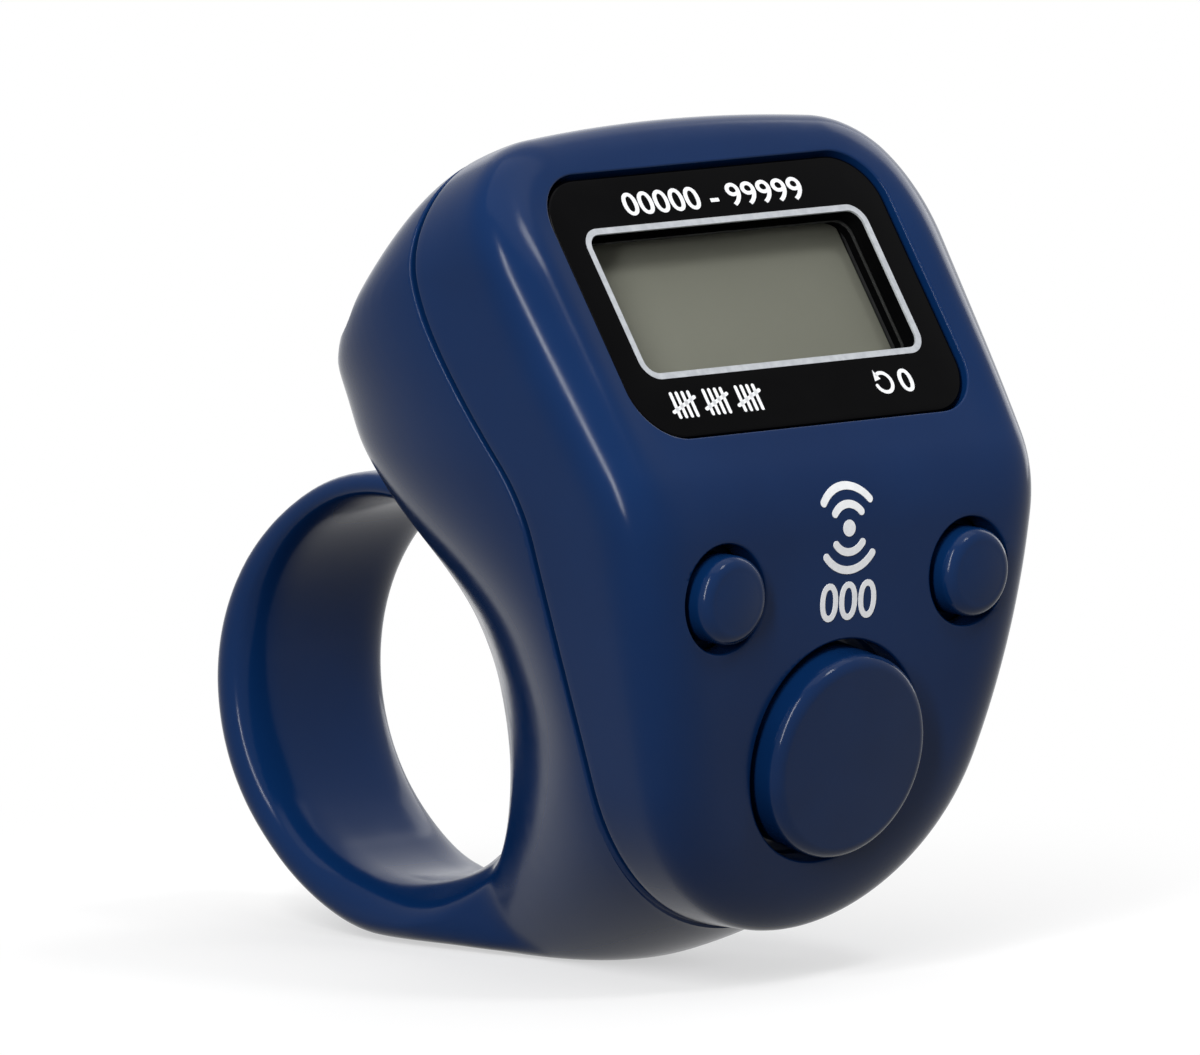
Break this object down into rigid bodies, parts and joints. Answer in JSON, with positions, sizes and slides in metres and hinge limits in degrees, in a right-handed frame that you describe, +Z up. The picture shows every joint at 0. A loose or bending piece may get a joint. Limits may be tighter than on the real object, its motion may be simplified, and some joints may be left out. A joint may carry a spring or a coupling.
{
  "type": "tally counter",
  "caption": "Finger-ring tally counter: moulded case with a display window, a large count button, two small side buttons and a ring for the finger.",
  "frame": {"origin": "centre of the flat resting face under the finger ring", "axes": "+X to the right of a person reading the display, +Y away from that person, +Z up"},
  "size_m": [0.0312, 0.0424, 0.0429],
  "materials": {
    "navy_plastic": "satin to glossy moulded ABS",
    "panel_black": "clear acrylic printed black behind",
    "tape": "double-sided foam tape",
    "film": "polarising film",
    "lcd_glass": "display glass",
    "foil": "satin reflector film",
    "white_plastic": "moulded",
    "contact_rubber": "striped conductive rubber",
    "board_green": "glass-epoxy board with solder mask",
    "resin": "black potting resin",
    "cable_film": "amber film cable",
    "switch_black": "moulded",
    "plunger_red": "moulded",
    "cell_steel": "nickel-plated steel can",
    "contact_steel": "nickel-plated spring steel",
    "screw_steel": "zinc-plated"
  },
  "bodies": {
    "case": {"front_shell": "navy_plastic", "back_shell": "navy_plastic", "display_panel": "panel_black", "panel_tape": "tape", "lcd_front_polarizer": "film", "lcd_front_glass": "lcd_glass", "lcd_rear_glass": "lcd_glass", "lcd_reflector": "foil", "lcd_frame": "white_plastic", "lcd_contact_strip": "contact_rubber", "main_board": "board_green", "key_board": "board_green", "chip_blob": "resin", "sounder": "resin", "ribbon_cable": "cable_film", "count_switch": "switch_black", "left_switch": "switch_black", "right_switch": "switch_black", "battery_cell": "cell_steel", "battery_minus_contact": "contact_steel", "battery_clip": "contact_steel", "case_screw_left": "screw_steel", "case_screw_right": "screw_steel"},
    "count_key": {"count_button": "navy_plastic", "count_plunger": "plunger_red"},
    "left_key": {"left_button": "navy_plastic", "left_plunger": "plunger_red"},
    "right_key": {"right_button": "navy_plastic", "right_plunger": "plunger_red"}
  },
  "joints": [
    {"name": "count_press", "type": "slide", "parent": "case", "child": "count_key", "axis": [0, 0.9841, 0.1777], "range_m": [0, 0.0005], "stiffness_N_per_m": 1500},
    {"name": "left_press", "type": "slide", "parent": "case", "child": "left_key", "axis": [0, 0.9992, 0.0411], "range_m": [0, 0.0004], "stiffness_N_per_m": 1200},
    {"name": "right_press", "type": "slide", "parent": "case", "child": "right_key", "axis": [0, 0.9992, 0.0411], "range_m": [0, 0.0004], "stiffness_N_per_m": 1200}
  ]
}
